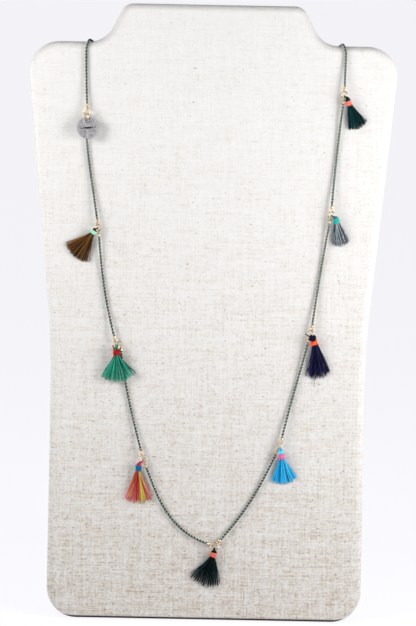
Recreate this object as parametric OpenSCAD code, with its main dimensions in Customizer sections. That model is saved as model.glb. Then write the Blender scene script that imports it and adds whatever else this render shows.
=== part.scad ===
// Long tassel necklace laid over a linen-covered display board that leans on an easel leg.
// The board's face looks towards -Y and the floor is Z = 0.

/* [Display board] */
// Height of the board, measured up its face
board_h = 371; // [362:1:420]
// Height of the shoulders, measured up the face
shoulder_h = 347.5; // [340:0.5:358]
// Width across the shoulders, before their corners are rounded
shoulder_w = 225; // [200:1:260]
// Width at the waist
waist_w = 189; // [176:1:200]
// Height of the waist
waist_h = 165; // [150:1:230]
// Width at the foot
foot_w = 189; // [150:1:200]
// Width of the neck where it meets the shoulders
neck_base_w = 131; // [120:1:135]
// Width of the neck's top edge
neck_top_w = 107; // [80:1:110]
// Thickness of the padded board
board_t = 14; // [10:0.5:24]
// Radius of the shoulder corners
shoulder_r = 18; // [8:1:24]
// Radius of the foot corners
foot_r = 18; // [8:1:26]
// Radius of the neck's top corners
neck_r = 8; // [6:0.5:10]
// Radius of the hollow between neck and shoulder
hollow_r = 16; // [6:1:18]
// Radius of the gentle bend at the waist
waist_r = 600; // [200:10:800]
// Radius of the padded front edge
edge_front = 5; // [3:0.5:5.5]
// Radius of the back edge
edge_back = 2; // [1:0.5:3]
// Lean of the board back from upright, in degrees
lean = 12; // [6:0.5:18]

/* [Easel leg] */
// Width of the leg
leg_w = 60; // [30:1:100]
// Thickness of the leg
leg_t = 3; // [2:0.5:5]
// Height of the bend, measured up the board
bend_h = 225; // [150:1:235]
// Height of the strip above the bend that is fixed to the board
strip_h = 45; // [20:1:48]
// Angle of the leg from upright, in degrees
leg_angle = 14; // [8:0.5:22]

/* [Chain] */
// Width of the chain with the thread that is wound round it
chain_d = 1.6; // [1.2:0.1:2]
// Drop of the chain behind the board, from the shoulders to its lowest point
back_drop = 50; // [35:1:60]

/* [Rings and crimps] */
// Outer diameter of a jump ring
ring_d = 5.4; // [5.2:0.1:6]
// Thickness of a jump ring's wire
ring_wire = 0.75; // [0.5:0.05:0.75]
// Outer diameter of the small loop on a crimp
loop_d = 2.4; // [2.34:0.02:2.5]
// Thickness of the loop's wire
loop_wire = 0.56; // [0.4:0.02:0.58]
// Diameter of a crimp's barrel
crimp_d = 2; // [1.6:0.1:2.1]
// Length of a crimp's barrel
crimp_len = 1.7; // [1:0.1:2.2]

/* [Coin] */
// Diameter of the coin
coin_d = 13.5; // [12:0.1:14.5]
// Thickness of the coin
coin_t = 1.1; // [0.8:0.05:1.3]
// Diameter of the hole in the coin
coin_hole_d = 2.2; // [2:0.05:2.4]
// Strip of metal between the hole and the coin's edge
coin_bridge = 1.35; // [1:0.05:1.5]
// Diameter of a hammered dent
dent_d = 1.9; // [1.4:0.1:2.2]

/* [Tassels] */
// Length of a tassel's skirt below its binding
skirt_len = 18; // [12:0.5:20]
// Outer diameter of a binding
binding_d = 4; // [3.6:0.1:4.2]
// Height of a binding
binding_h = 3.2; // [2.4:0.1:3.4]
// Thickness of the thread wound in a binding
binding_wall = 0.7; // [0.4:0.05:0.9]
// Thickness of the thread loop that holds a tassel on its ring
eye_wire = 1; // [0.8:0.05:1.05]
// Length of the head between a ring's wire and a binding
head_len = 1.2; // [1.1:0.1:2]
// Number of locks in a skirt
locks = 13; // [9:2:17]
// Width of a lock
lock_d = 1.5; // [1:0.1:1.8]

/* [Clearances] */
// Play between linked or nested pieces
play = 0.1; // [0.06:0.01:0.14]
// Height of a lying piece above the cloth
rest = 0.15; // [0.1:0.05:0.4]

/* [Hidden] */
$fn = 48;
chain_sides = 8;
stretch_rings = 6;
chain_lift = chain_d / 2 + rest;

// The stations of the necklace from the left shoulder round to the right one. u is the distance
// from the middle of the board and drop the distance below the shoulders. The headings are in
// degrees from straight down, to the right: the chain arrives and leaves along two of them, and
// the crimps grip the ring along grip_in and grip_out. tilt turns the ring out of the face.
NAME = 0; U = 1; DROP = 2; ARRIVE = 3; LEAVE = 4; GRIP_IN = 5; GRIP_OUT = 6; TILT = 7;
stations = [
    // name      u      drop   arrive leave grip_in grip_out tilt
    ["coin",    -75.2,  43,    3,     4,    3,     -30,      -32],
    ["brown",   -67.2,  112.3, 9,     5,    8,      8,       55],
    ["green",   -54.2,  181.4, 15,    8,    44,     44,      45],
    ["rainbow", -37.4,  250.4, 16,    20,   20,     20,      45],
    ["pine",    6.2,    301.6, 72,    139,  74,     138,     30],
    ["sky",     43.6,   241.1, 156,   167,  159,    159,     50],
    ["navy",    61,     173.3, 166,   172,  167,    167,     55],
    ["grey",    71.9,   101.9, 170,   176,  174,    174,     50],
    ["forest",  78.5,   30.1,  174,   180,  174,    174,     55]
];
// Where the chain crosses the left and the right shoulder, and how far it moves inwards there
crossing_left = -76.5;
crossing_right = 79.2;
crossing_shift = 4;
// How far the chain turns inwards behind the board, in degrees
back_heading = 38;
// How far a stretch of chain keeps its first heading, as a share of its span
slack = 0.38;
// How steeply a crimp dips towards the cloth
dip = 0.08;

// The tassels: hang is the heading from the ring's middle to the thread loop, and heading the one
// from the loop to the binding. head, wide, tall and long are shares of the named sizes, and
// turn the heading of the binding's own axis. The skirt spreads from left to right. over is the
// height of what it lies on, as a share of the chain's width.
T_HANG = 1; T_HEADING = 2; T_HEAD = 3; T_WIDE = 4; T_TALL = 5; T_TURN = 6;
T_LEFT = 7; T_RIGHT = 8; T_LONG = 9; T_OVER = 10; T_COLOUR = 11; T_BAND = 12;
tassels = [
    // name     hang head. head  wide  tall  turn left right long  over  colour          binding
    ["brown",   -66, -36,  0.95, 0.85, 0.82, -38, -64, -14, 0.97, 0,    "saddlebrown",   "aquamarine"],
    ["green",   -16, 0,   1.3,  0.95, 1,    3,   -26, 37,  0.9,  1.25, "seagreen",      "firebrick"],
    ["rainbow", -42, -24,  2,    0.88, 1.06, -6,  -20, 23,  1.08, 0,    "coral",         "steelblue"],
    ["pine",    -8,  -10,  1,    1,    0.95, -14, -43, 8,   1,    0,    "darkslategray", "salmon"],
    ["sky",     30,  10,   2.4,  0.95, 0.94, 8,   -18, 34,  0.83, 0,    "deepskyblue",   "hotpink"],
    ["navy",    30,  20,   2.3,  1.02, 0.88, 18,  -8,  26,  1.08, 0,    "midnightblue",  "orangered"],
    ["grey",    50,  38,   1.1,  0.95, 1.06, 14,  -8,  34,  0.75, 0,    "lightslategray", "turquoise"],
    ["forest",  38,  27,   1.8,  0.9,  1,    22,  6,   42,  0.8,  0,    "darkslategray", "lightcoral"]
];
LINEN = "antiquewhite";
GOLD = "wheat";
SILVER = "silver";
CHAIN = "darkslategray";

last = len(stations) - 1;
ring_r = (ring_d - ring_wire) / 2;
loop_r = (loop_d - loop_wire) / 2;
eye_r = (ring_wire + eye_wire) / 2 + 1.5 * play;
steepest = max([for (s = stations) abs(s[TILT])]);
ring_lift = ring_r * sin(steepest) + ring_wire / 2 + 2 * rest;
// From the middle of the loop to the start and the end of the barrel
barrel_start = loop_r + loop_wire / 4;
barrel_end = barrel_start + crimp_len;
// The coin hangs from its own small ring, over the crimp below its jump ring
coin_hole_drop = 5.5;
coin_hole_shift = 0.6;
coin_lift = ring_lift + crimp_d / 2 + coin_t / 2;
coin_tip = 5;
coin_turn = 4;
coin_link_heading = 28;
coin_to_hole = coin_d / 2 - coin_bridge - coin_hole_d / 2;
// Widths in a tassel, as shares of its binding's width
head_share = 0.86;
root_share = 0.66;
// How far fused pieces of a tassel run into each other
fuse = 0.3;

// Directions and lines

function unit(a) = a / norm(a);
// Direction in the face, h degrees from straight down and to the right
function course(h) = [sin(h), -cos(h), 0];
// Where the line from p along d meets the line from q along e
function meet(p, d, q, e) = p + d * cross(q - p, e) / cross(d, e);
function bezier(a, b, c, d, t) =
    pow(1 - t, 3) * a + 3 * pow(1 - t, 2) * t * b + 3 * (1 - t) * t * t * c + pow(t, 3) * d;
function bezier_points(a, b, c, d, count) =
    [for (i = [0:count - 1]) bezier(a, b, c, d, i / (count - 1))];

// Skins over rings of points

// One solid over rings that turn anticlockwise when seen from its far end
module skin(rings) {
    sides = len(rings[0]);
    end = (len(rings) - 1) * sides;
    polyhedron(
        points = [for (ring = rings) each ring],
        faces = concat(
            [[for (k = [0:sides - 1]) k]],
            [for (i = [0:len(rings) - 2]) for (k = [0:sides - 1])
                [i * sides + k, (i + 1) * sides + k, (i + 1) * sides + (k + 1) % sides]],
            [for (i = [0:len(rings) - 2]) for (k = [0:sides - 1])
                [i * sides + k, (i + 1) * sides + (k + 1) % sides, i * sides + (k + 1) % sides]],
            [[for (k = [sides - 1:-1:0]) end + k]]
        )
    );
}

function heading(route, i) =
    unit(route[min(i + 1, len(route) - 1)] - route[max(i - 1, 0)]);
// Rings round a route, one radius for each point, turned by the direction up
function tube(route, radii, sides, up) = [
    for (i = [0:len(route) - 1])
        let (t = heading(route, i), x = unit(cross(up, t)), y = cross(t, x))
        [for (k = [0:sides - 1])
            route[i] + radii[i] * (cos(360 * k / sides) * x + sin(360 * k / sides) * y)]
];

// Frames

// The board's own frame: x across, y up the face, z out of the face
module on_board() {
    translate([0, -middle_y, 0]) rotate([90 - lean, 0, 0]) children();
}
// A point of the board's frame as Y and Z above the floor, before the origin is centred
function side_view(y, z) = [y * sin(lean) - z * cos(lean), y * cos(lean) + z * sin(lean)];

// Local z along axis, local x as near side as it can be
module placed(at, axis, side) {
    z = unit(axis);
    y = unit(cross(z, side));
    x = cross(y, z);
    multmatrix([
        [x.x, y.x, z.x, at.x],
        [x.y, y.y, z.y, at.y],
        [x.z, y.z, z.z, at.z],
        [0, 0, 0, 1]
    ]) children();
}

// Display board

// One rounded corner b between a and c, of radius r and moved in by inset
function corner(a, b, c, r, steps, inset) =
    let (
        e = unit(b - a), f = unit(c - b),
        bulge = sign(cross(e, f)),
        middle = b + unit(f - e) * r / cos(acos(e * f) / 2),
        from = atan2(-e.x, e.y),
        sweep = bulge * acos(e * f)
    )
    [for (k = [0:steps]) let (angle = from + sweep * k / steps)
        middle + bulge * (r - bulge * inset) * [cos(angle), sin(angle)]];

// Half of the outline from the foot up, as x, y, corner radius and steps
function half_outline(foot) = [
    [foot_w / 2, foot, foot_r, 6],
    [waist_w / 2, waist_h, waist_r, 3],
    [shoulder_w / 2, shoulder_h, shoulder_r, 6],
    [neck_base_w / 2, shoulder_h, hollow_r, 5],
    [neck_top_w / 2, board_h, neck_r, 3]
];
function outline(inset, foot) =
    let (
        half = half_outline(foot),
        all = concat(half, [for (i = [len(half) - 1:-1:0])
            [-half[i].x, half[i].y, half[i][2], half[i][3]]]),
        n = len(all),
        at = [for (p = all) [p.x, p.y]]
    )
    [for (i = [0:n - 1])
        each corner(at[(i + n - 1) % n], at[i], at[(i + 1) % n], all[i][2], all[i][3], inset)];

// The outline at height z, whose foot stays on the floor under the lean
function board_ring(inset, z) =
    [for (p = outline(inset, -z * tan(lean))) [p.x, p.y, z]];

module display_board() {
    back = [for (a = [0, 45, 90])
        board_ring(edge_back * (1 - sin(a)), -board_t + edge_back * (1 - cos(a)))];
    front = [for (a = [0, 22.5, 45, 67.5, 90])
        board_ring(edge_front * (1 - cos(a)), -edge_front * (1 - sin(a)))];
    color(LINEN) on_board() skin(concat(back, front));
}

// Easel leg

leg_run = [sin(leg_angle), -cos(leg_angle)];
leg_side = [cos(leg_angle), sin(leg_angle)];
bend = side_view(bend_h, -board_t - play);
strip_top = side_view(bend_h + strip_h, -board_t - play);
strip_back = side_view(bend_h + strip_h, -board_t - play - leg_t);
bend_back = meet(strip_back, bend - strip_top, bend + leg_t * leg_side, leg_run);
leg_foot = bend + leg_run * bend.y / cos(leg_angle);
leg_heel = leg_foot + [leg_t / cos(leg_angle), 0];
board_front = edge_front * (sin(lean) + cos(lean) - 1);
middle_y = (board_front + leg_heel.x) / 2;

module easel_leg() {
    color(LINEN) translate([0, -middle_y, 0]) rotate([90, 0, 90])
        linear_extrude(leg_w, center = true)
            polygon([strip_top, bend, leg_foot, leg_heel, bend_back, strip_back]);
}

// Rings

function ring_middle(s) = [s[U], shoulder_h - s[DROP], ring_lift];
function ring_heading(s) = (s[GRIP_IN] + s[GRIP_OUT]) / 2;
// The ring's own axes: along the chain, and away from the middle of the necklace
function ring_along(s) = course(ring_heading(s));
function ring_away(s) =
    let (h = ring_heading(s), t = s[TILT]) [-cos(h) * cos(t), -sin(h) * cos(t), sin(t)];
function ring_turn(s, h) =
    let (h0 = ring_heading(s), q = course(h))
    atan2(q * [-cos(h0), -sin(h0), 0] / cos(s[TILT]), q * course(h0));
// The middle of the wire on heading h, and the direction of the wire there
function ring_point(s, h) =
    let (a = ring_turn(s, h))
    ring_middle(s) + ring_r * (cos(a) * ring_along(s) + sin(a) * ring_away(s));
function ring_wire_run(s, h) =
    let (a = ring_turn(s, h)) -sin(a) * ring_along(s) + cos(a) * ring_away(s);

module wire_ring(r, wire) {
    rotate_extrude() translate([r, 0]) circle(d = wire);
}

module jump_ring(s) {
    color(GOLD) on_board()
        placed(ring_middle(s), cross(ring_along(s), ring_away(s)), ring_along(s))
            wire_ring(ring_r, ring_wire);
}

// Crimps

// way is -1 where the chain arrives and 1 where it leaves
function grip(s, way) = ring_point(s, way < 0 ? s[GRIP_IN] + 180 : s[GRIP_OUT]);
function crimp_run(s, way) =
    unit((way < 0 ? -course(s[ARRIVE]) : course(s[LEAVE])) - [0, 0, dip]);
// From the middle of the gripped wire to the middle of the loop, which may cross it askew
function loop_reach(s, way) =
    let (askew = way < 0 ? s[ARRIVE] - s[GRIP_IN] : s[LEAVE] - s[GRIP_OUT])
    max(0, loop_r - (loop_wire / 2 + ring_wire / 2 + play) / cos(askew));
function loop_middle(s, way) = grip(s, way) + crimp_run(s, way) * loop_reach(s, way);
function chain_end(s, way) = loop_middle(s, way) + crimp_run(s, way) * (barrel_end + 2 * play);

// A small loop round the jump ring's wire, soldered to a barrel that holds the chain
module crimp(s, way) {
    run = crimp_run(s, way);
    color(GOLD) on_board()
        placed(loop_middle(s, way), run, cross(ring_along(s), ring_away(s))) {
            rotate([90, 0, 0]) wire_ring(loop_r, loop_wire);
            translate([0, 0, barrel_start]) cylinder(h = crimp_len, d = crimp_d);
        }
}

// Chain

function stretch_route(s, t) =
    let (
        a = chain_end(s, 1), d = chain_end(t, -1), reach = slack * norm(d - a),
        low = (8 * chain_lift - a.z - d.z) / 6,
        b = a + reach * crimp_run(s, 1), c = d + reach * crimp_run(t, -1)
    )
    bezier_points(a, [b.x, b.y, low], [c.x, c.y, low], d, stretch_rings);

// From a station up the face, over the shoulder and down to the middle of the back
function end_route(s, way, crossing) =
    let (
        inwards = -sign(crossing),
        a = chain_end(s, way),
        up = [crossing, shoulder_h - edge_front, chain_lift],
        rise = (up.y - a.y) / 3,
        over = edge_front + chain_lift + rest,
        under = edge_back + chain_lift + rest,
        down = [crossing + inwards * crossing_shift, shoulder_h - edge_back, -board_t - chain_lift],
        low = [inwards * -2.5 * play, shoulder_h - back_drop, down.z],
        fall = norm(low - down) / 3
    )
    concat(
        [for (t = [0, 0.5]) bezier(a, a + rise * crimp_run(s, way), up - [0, rise, 0], up, t)],
        [for (k = [0:30:90])
            [crossing + inwards * crossing_shift * k / 180,
             up.y + over * sin(k), over * cos(k) - edge_front]],
        [for (k = [0, 30, 60])
            [crossing + inwards * crossing_shift * (0.75 + k / 360),
             down.y + under * cos(k), edge_back - board_t - under * sin(k)]],
        bezier_points(down,
            down + fall * [inwards * sin(back_heading), -cos(back_heading), 0],
            low - [inwards * fall, 0, 0], low, 6)
    );

module chain(route, up) {
    color(CHAIN) on_board()
        skin(tube(route, [for (p = route) chain_d / 2], chain_sides, up));
}

// Coin

function coin_wire() =
    ring_middle(stations[0])
    + [coin_hole_shift, -coin_hole_drop + (coin_hole_d - ring_wire) / 2 - 3 * play,
       coin_lift - ring_lift];
function coin_link() =
    let (s = stations[0], p = ring_point(s, coin_link_heading))
    p + (ring_wire + play) * unit(ring_middle(s) - p);

module coin_ring() {
    top = coin_link();
    low = coin_wire();
    color(GOLD) on_board()
        placed((top + low) / 2, cross(low - top, [0, 0, 1]), low - top)
            wire_ring(norm(low - top) / 2, ring_wire);
}

// The coin's frame: the hole's middle at the origin, y up, z out of its face
module coin_body() {
    edge = [for (a = [0:7.5:352.5])
        coin_d / 2 * (1 + 0.012 * sin(3 * a + 40) + 0.008 * sin(5 * a)) * [cos(a), sin(a)]];
    dent_rise = sqrt(3) / 2 * dent_d;
    // Two circles of hammered dents and a row of punched dots across the face
    dots = 7;
    dot_pitch = coin_d / (dots + 3);
    difference() {
        translate([0, -coin_to_hole, 0]) linear_extrude(coin_t, center = true) polygon(edge);
        cylinder(h = 3 * coin_t, d = coin_hole_d, center = true);
        for (circle = [[5, 0.17, 87], [9, 0.36, 130]], k = [0:circle[0] - 1]) {
            angle = circle[2] + 360 * k / circle[0];
            dent = coin_d * circle[1] * [cos(angle), sin(angle)] - [0, coin_to_hole];
            if (norm(dent) > coin_hole_d)
                translate([dent.x, dent.y, coin_t / 2 + dent_rise]) sphere(r = dent_d);
        }
        for (k = [1:dots]) {
            dot = dot_pitch * (0.3 + 0.3 * (1 - abs(2 * k / (dots + 1) - 1)));
            translate([(k - (dots + 1) / 2) * dot_pitch, -coin_to_hole, coin_t / 2])
                sphere(r = dot);
        }
    }
}

module coin() {
    hole = ring_middle(stations[0]) + [coin_hole_shift, -coin_hole_drop, coin_lift - ring_lift];
    color(SILVER) on_board() translate(hole) rotate([-coin_tip, 0, coin_turn]) coin_body();
}

// Tassels

function station(name) = [for (s = stations) if (s[NAME] == name) s][0];
function wide(t) = t[T_WIDE] * binding_d;
function tall(t) = t[T_TALL] * binding_h;
function long(t) = t[T_LONG] * skirt_len;
function eye(t) = ring_point(station(t[NAME]), t[T_HANG]);
// The height of the middle of a binding and of the skirt's tips above the cloth
function tips_lift(t) = rest + t[T_OVER] * chain_d + lock_d / 2;
function binding_lift(t) = max(wide(t) / 2 + 2 * rest, tips_lift(t) + lock_d / 2) + lock_d / 3;
function binding_middle(t) =
    let (e = eye(t), reach = ring_wire / 2 + t[T_HEAD] * head_len + tall(t) / 2,
         b = e + reach * course(t[T_HEADING]))
    [b.x, b.y, binding_lift(t)];
function binding_run(t) =
    unit(course(t[T_TURN]) - [0, 0, (binding_lift(t) - tips_lift(t)) / long(t) / 2]);

// Wound thread round a tassel's neck
module binding(t) {
    r = wide(t) / 2;
    h = tall(t);
    ease = binding_wall / 2;
    color(t[T_BAND]) on_board() placed(binding_middle(t), binding_run(t), [1, 0, 0])
        rotate_extrude() polygon([
            [r - binding_wall, -h / 2], [r - ease, -h / 2], [r, ease - h / 2],
            [r, h / 2 - ease], [r - ease, h / 2], [r - binding_wall, h / 2]
        ]);
}

// One lock from a to b, which bows out of the face in between
module lock(a, b) {
    middle = a * 0.45 + b * 0.55 + [0, 0, lock_d * 0.35];
    hull() skin(tube([a, middle, b], lock_d * [0.3, 0.5, 0.4], 6, [0, 0, 1]));
}

module tassel(t) {
    s = station(t[NAME]);
    run = binding_run(t);
    at = binding_middle(t);
    top = at - run * (tall(t) / 2 + play);
    root = at + run * (tall(t) / 2 + play);
    across = unit(cross([0, 0, 1], run));
    wire_run = ring_wire_run(s, t[T_HANG]);
    to_head = top - eye(t);
    hold = eye(t) + eye_r * unit(to_head - (to_head * wire_run) * wire_run);
    head_d = head_share * wide(t);
    neck_d = wide(t) - 2 * binding_wall - 2 * play;
    color(t[T_COLOUR]) on_board() {
        placed(eye(t), wire_run, [0.1, 0.2, 1])
            rotate_extrude($fn = 14) translate([eye_r, 0]) circle(d = eye_wire, $fn = 7);
        hull() {
            translate(hold) sphere(d = eye_wire, $fn = 8);
            placed(top - run * fuse, run, [1, 0, 0]) cylinder(h = fuse, d = head_d, $fn = 12);
        }
        placed(top - run * fuse / 2, run, [1, 0, 0])
            cylinder(h = tall(t) + 2 * play + fuse, d = neck_d, $fn = 12);
        placed(root, run, [1, 0, 0]) cylinder(h = lock_d / 2, d = head_d, $fn = 12);
        for (k = [0:locks - 1]) {
            share = k / (locks - 1);
            layer = k % 2;
            angle = t[T_LEFT] + (t[T_RIGHT] - t[T_LEFT]) * share;
            reach = long(t) * (1 - 0.08 * pow(2 * share - 1, 2) - 0.05 * layer);
            tip = root + reach * course(angle);
            lock(
                root + across * (share - 0.5) * root_share * wide(t)
                    + [0, 0, (layer - 0.5) * lock_d * 0.5] + run * lock_d * 0.3,
                [tip.x, tip.y, tips_lift(t) + layer * lock_d * 0.7]
            );
        }
    }
}

display_board();
easel_leg();
coin();
coin_ring();
chain(end_route(stations[0], -1, crossing_left), [1, 0, 0]);  // chain_left_end
chain(end_route(stations[last], 1, crossing_right), [1, 0, 0]);  // chain_right_end
for (i = [1:last])
    chain(stretch_route(stations[i - 1], stations[i]), [0, 0, 1]);
for (s = stations)
    jump_ring(s);
for (s = stations)
    crimp(s, -1);
for (s = stations)
    crimp(s, 1);
for (t = tassels)
    tassel(t);
for (t = tassels)
    binding(t);
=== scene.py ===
"""A long necklace of thread tassels, laid over a linen-covered display board on an easel leg."""
import math
import random
from collections import namedtuple

import bpy
import numpy as np
from mathutils import Matrix, Vector, noise
from numpy.linalg import norm


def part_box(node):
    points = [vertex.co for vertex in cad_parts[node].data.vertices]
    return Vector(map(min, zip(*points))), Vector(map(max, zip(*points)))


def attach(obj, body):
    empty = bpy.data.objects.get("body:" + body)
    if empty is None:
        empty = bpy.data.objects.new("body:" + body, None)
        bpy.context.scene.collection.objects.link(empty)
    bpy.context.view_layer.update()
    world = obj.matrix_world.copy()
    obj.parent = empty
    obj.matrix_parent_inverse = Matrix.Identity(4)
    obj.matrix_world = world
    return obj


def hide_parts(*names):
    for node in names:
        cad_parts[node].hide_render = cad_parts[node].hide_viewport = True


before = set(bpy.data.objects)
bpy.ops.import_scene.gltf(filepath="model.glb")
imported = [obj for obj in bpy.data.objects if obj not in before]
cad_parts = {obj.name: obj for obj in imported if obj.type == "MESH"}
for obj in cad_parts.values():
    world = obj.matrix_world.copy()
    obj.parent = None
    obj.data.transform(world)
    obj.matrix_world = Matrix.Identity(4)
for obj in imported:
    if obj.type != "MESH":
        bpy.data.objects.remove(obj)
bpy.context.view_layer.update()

# Sizes of the board, in millimetres
BOARD_H = 371
SHOULDER_H = 347.5
SHOULDER_W = 225
WAIST_W = 189
WAIST_H = 165
FOOT_W = 189
NECK_BASE_W = 131
NECK_TOP_W = 107
BOARD_T = 14
SHOULDER_R = 18
FOOT_R = 18
NECK_R = 8
HOLLOW_R = 16
WAIST_R = 600
EDGE_FRONT = 5
EDGE_BACK = 2
LEAN = 12

# Sizes of the necklace, in millimetres
CHAIN_D = 1.6
BACK_DROP = 50
RING_D = 5.4
RING_WIRE = 0.75
LOOP_D = 2.4
LOOP_WIRE = 0.56
CRIMP_D = 2
CRIMP_LEN = 1.7
COIN_D = 13.5
COIN_T = 1.1
COIN_HOLE_D = 2.2
COIN_BRIDGE = 1.35
SKIRT_LEN = 18
BINDING_D = 4
BINDING_H = 3.2
EYE_WIRE = 1
HEAD_LEN = 1.2
LOCK_D = 1.5
LOCKS = 13
PLAY = 0.1
REST = 0.15

# The stations of the necklace from the left shoulder to the right one. u is the distance from the
# board's middle and drop the one below its shoulders. The chain arrives and leaves on headings, in
# degrees from straight down, and its crimps grip the ring on two more. tilt is the ring's own.
Station = namedtuple("Station", "name u drop arrive leave grip_in grip_out tilt")
STATIONS = [
    Station("coin", -75.2, 43, 3, 4, 3, -30, -32),
    Station("brown", -67.2, 112.3, 9, 5, 8, 8, 55),
    Station("green", -54.2, 181.4, 15, 8, 44, 44, 45),
    Station("rainbow", -37.4, 250.4, 16, 20, 20, 20, 45),
    Station("pine", 6.2, 301.6, 72, 139, 74, 138, 30),
    Station("sky", 43.6, 241.1, 156, 167, 159, 159, 50),
    Station("navy", 61, 173.3, 166, 172, 167, 167, 55),
    Station("grey", 71.9, 101.9, 170, 176, 174, 174, 50),
    Station("forest", 78.5, 30.1, 174, 180, 174, 174, 55),
]
CROSSING_LEFT = -76.5
CROSSING_RIGHT = 79.2
CROSSING_SHIFT = 4
BACK_HEADING = 38
BACK_GAP = 0.5
SLACK = 0.38
DIP = 0.08

# The tassels. Each hangs on its ring at a heading, its head runs along a second one, its binding
# turns to a third, and its skirt spreads from left to right. head, wide, tall and long are shares
# of the named sizes, and over says how many widths of chain its tips lie over.
Tassel = namedtuple("Tassel", "name hang heading head wide tall turn left right long over")
TASSELS = [
    Tassel("brown", -66, -36, 0.95, 0.85, 0.82, -38, -64, -14, 0.97, 0),
    Tassel("green", -16, 0, 1.3, 0.95, 1, 3, -26, 37, 0.9, 1.25),
    Tassel("rainbow", -42, -24, 2, 0.88, 1.06, -6, -20, 23, 1.08, 0),
    Tassel("pine", -8, -10, 1, 1, 0.95, -14, -43, 8, 1, 0),
    Tassel("sky", 30, 10, 2.4, 0.95, 0.94, 8, -18, 34, 0.83, 0),
    Tassel("navy", 30, 20, 2.3, 1.02, 0.88, 18, -8, 26, 1.08, 0),
    Tassel("grey", 50, 38, 1.1, 0.95, 1.06, 14, -8, 34, 0.75, 0),
    Tassel("forest", 38, 27, 1.8, 0.9, 1, 22, 6, 42, 0.8, 0),
]

# The skirts' threads: how many, how thick, how wavy and ragged they are, how many stray, how far
# they gather into locks, how far they flare, and the radius of the ball above the binding
Skirt = namedtuple("Skirt", "threads thick wave ragged strays gather flare ball")
SKIRTS = {
    "brown": Skirt(104, 0.44, 0.1, 0.05, 6, 0.35, 1, 0),
    "green": Skirt(124, 0.3, 0.2, 0.07, 26, 0.3, 1, 0),
    "rainbow": Skirt(60, 0.48, 0.34, 0.12, 2, 0.45, 1, 0),
    "pine": Skirt(128, 0.54, 0.16, 0.08, 4, 0.8, 1, 0),
    "sky": Skirt(136, 0.36, 0.1, 0.05, 4, 0.3, 0.9, 1.55),
    "navy": Skirt(104, 0.44, 0.2, 0.14, 12, 0.4, 0.8, 2.2),
    "grey": Skirt(84, 0.36, 0.58, 0.12, 8, 0.5, 0.2, 0),
    "forest": Skirt(104, 0.4, 0.1, 0.05, 4, 0.55, 1, 0),
}
# Dark, middle and light colours of the threads
THREADS = {
    "brown": [(14, 5, 0), (68, 40, 13), (134, 92, 46)],
    "green": [(0, 26, 18), (0, 116, 90), (84, 206, 174)],
    "pine": [(0, 2, 3), (0, 11, 13), (2, 44, 46)],
    "sky": [(0, 92, 152), (0, 186, 250), (112, 232, 255)],
    "navy": [(2, 2, 10), (12, 11, 37), (44, 42, 92)],
    "grey": [(38, 44, 48), (98, 110, 116), (182, 194, 200)],
    "forest": [(0, 7, 9), (0, 30, 33), (10, 78, 76)],
}
BANDS = {
    "brown": ("mint", [(110, 190, 170), (172, 236, 214), (214, 250, 238)]),
    "green": ("red", [(90, 0, 8), (156, 14, 18), (204, 48, 40)]),
    "rainbow": ("blue", [(0, 66, 104), (0, 112, 160), (30, 150, 196)]),
    "pine": ("coral", [(180, 74, 62), (240, 124, 106), (255, 176, 156)]),
    "sky": ("pink", [(196, 62, 124), (240, 108, 166), (255, 164, 204)]),
    "navy": ("orange", [(198, 44, 10), (250, 86, 32), (255, 142, 92)]),
    "grey": ("turquoise", [(0, 128, 124), (0, 178, 172), (124, 236, 222)]),
    "forest": ("salmon", [(190, 78, 70), (248, 134, 120), (255, 184, 168)]),
}
# The space-dyed thread's colours, and the order of them down each thread from left to right
DYES = {
    "coral": (236, 92, 92), "red": (216, 40, 54), "pink": (240, 112, 146), "hot": (224, 56, 114),
    "yellow": (244, 226, 96), "lime": (200, 206, 92), "olive": (150, 148, 72),
    "orange": (242, 128, 78), "violet": (112, 84, 134), "navy": (58, 82, 130),
    "peach": (252, 186, 146),
}
DYED = [
    "coral pink peach", "olive coral pink", "peach coral orange", "violet olive coral",
    "pink coral yellow", "coral olive pink", "peach lime hot", "coral peach violet",
    "violet red coral", "navy olive peach", "navy red red", "violet coral orange", "navy red pink",
    "red red coral", "navy hot red", "violet red yellow", "red coral red", "violet red hot",
    "peach coral red", "violet pink orange", "yellow yellow lime", "peach yellow olive",
    "yellow lime yellow", "violet yellow lime", "yellow peach pink", "coral yellow yellow",
    "navy olive lime", "coral orange coral", "yellow olive hot", "orange coral red",
    "peach coral pink", "red coral coral", "olive peach coral", "orange coral peach",
]
HEAD_DYES = ["red", "navy", "hot", "pink", "red", "violet", "coral"]


def sine(degrees):
    return math.sin(math.radians(degrees))


def cosine(degrees):
    return math.cos(math.radians(degrees))


MM = 0.001
SIN = sine(LEAN)
COS = cosine(LEAN)
# The board's front edge is the lowest Y of its box
MIDDLE_Y = EDGE_FRONT * (SIN + COS - 1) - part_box("display_board")[0].y / MM
OUT = np.array([0.0, 0.0, 1.0])

# Radii to the middle of the wires, and heights over the cloth
RING_R = (RING_D - RING_WIRE) / 2
LOOP_R = (LOOP_D - LOOP_WIRE) / 2
EYE_R = (RING_WIRE + EYE_WIRE) / 2 + 1.5 * PLAY
CHAIN_LIFT = CHAIN_D / 2 + REST
STEEPEST = max(abs(s.tilt) for s in STATIONS)
RING_LIFT = RING_R * sine(STEEPEST) + RING_WIRE / 2 + 2 * REST
BARREL_START = LOOP_R + LOOP_WIRE / 4
BARREL_END = BARREL_START + CRIMP_LEN
COIN_HOLE_DROP = 5.5
COIN_HOLE_SHIFT = 0.6
COIN_LIFT = RING_LIFT + CRIMP_D / 2 + COIN_T / 2
COIN_TIP = 5
COIN_TURN = 4
COIN_LINK_HEADING = 28
COIN_TO_HOLE = COIN_D / 2 - COIN_BRIDGE - COIN_HOLE_D / 2

rng = random.Random(7)


# Points and directions. A board point is across, up the face and out of the face, in millimetres.

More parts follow.
